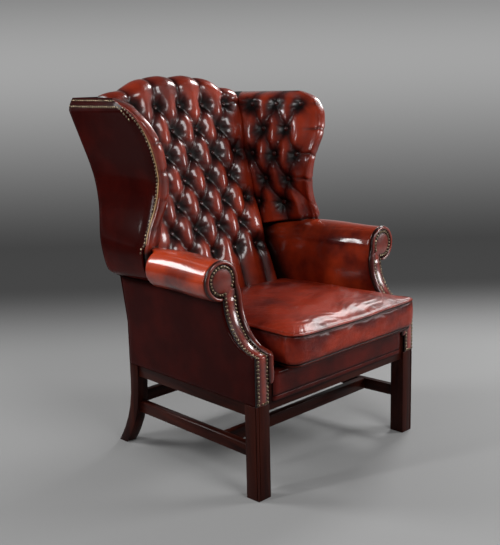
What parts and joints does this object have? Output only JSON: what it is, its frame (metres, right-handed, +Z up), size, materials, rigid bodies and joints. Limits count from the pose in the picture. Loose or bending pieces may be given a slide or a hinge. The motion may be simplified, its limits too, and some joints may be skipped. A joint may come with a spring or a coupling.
{
  "type": "wingback armchair",
  "caption": "Deep-buttoned leather wing armchair with rolled arms, nailed facings, square front legs with stretchers, swept rear legs and a loose seat cushion.",
  "frame": {"origin": "on the floor, under the middle of the chair's box", "axes": "+Z up, the chair faces -Y, +X to the left hand of someone sitting in it"},
  "size_m": [0.844, 0.814, 1.12],
  "materials": {
    "leather": "glossy hand-dyed oxblood, darker in the creases",
    "dark_leather": "satin dark oxblood on the outside panels",
    "mahogany": "dark red-brown stained and polished mahogany",
    "beech": "plain sawn beech inside the upholstery",
    "antique_brass": "antique brass",
    "spring_steel": "spring steel",
    "foam": "cut foam",
    "black_cloth": "black woven cloth",
    "webbing": "jute webbing"
  },
  "bodies": {
    "chair": {"front_leg_left": "mahogany", "front_leg_right": "mahogany", "rear_post_left": "mahogany", "rear_post_right": "mahogany", "front_seat_rail": "mahogany", "side_seat_rail_left": "mahogany", "side_seat_rail_right": "mahogany", "rear_seat_rail": "mahogany", "corner_blocks": "beech", "side_stretcher_left": "mahogany", "side_stretcher_right": "mahogany", "cross_stretcher": "mahogany", "rear_stretcher": "mahogany", "seat_springs": "spring_steel", "spring_clips": "spring_steel", "deck_pad": "black_cloth", "dust_cover": "black_cloth", "front_border": "leather", "arm_stump_left": "beech", "arm_stump_right": "beech", "arm_rail_left": "beech", "arm_rail_right": "beech", "arm_pad_left": "leather", "arm_pad_right": "leather", "arm_facing_left": "leather", "arm_facing_right": "leather", "arm_border_left": "leather", "arm_border_right": "leather", "outside_arm_left": "dark_leather", "outside_arm_right": "dark_leather", "arm_nails_left": "antique_brass", "arm_nails_right": "antique_brass", "crest_rail": "beech", "lower_back_rail": "beech", "back_webbing": "webbing", "inside_back": "leather", "outside_back": "dark_leather", "back_buttons": "leather", "wing_frame_left": "beech", "wing_frame_right": "beech", "inside_wing_left": "leather", "inside_wing_right": "leather", "outside_wing_left": "dark_leather", "outside_wing_right": "dark_leather", "wing_nails_left": "antique_brass", "wing_nails_right": "antique_brass", "wing_buttons": "leather"},
    "seat_cushion": {"cushion_cover": "leather", "cushion_core": "foam", "zip_tape": "black_cloth"},
    "zip_pull": {"zip_slider": "antique_brass"}
  },
  "joints": [
    {"name": "cushion_lift", "type": "slide", "parent": "chair", "child": "seat_cushion", "axis": [0, -0.8, 0.6], "range_m": [0, 0.75]},
    {"name": "zip_slide", "type": "slide", "parent": "seat_cushion", "child": "zip_pull", "axis": [1, 0, 0], "range_m": [0, 0.4]}
  ]
}
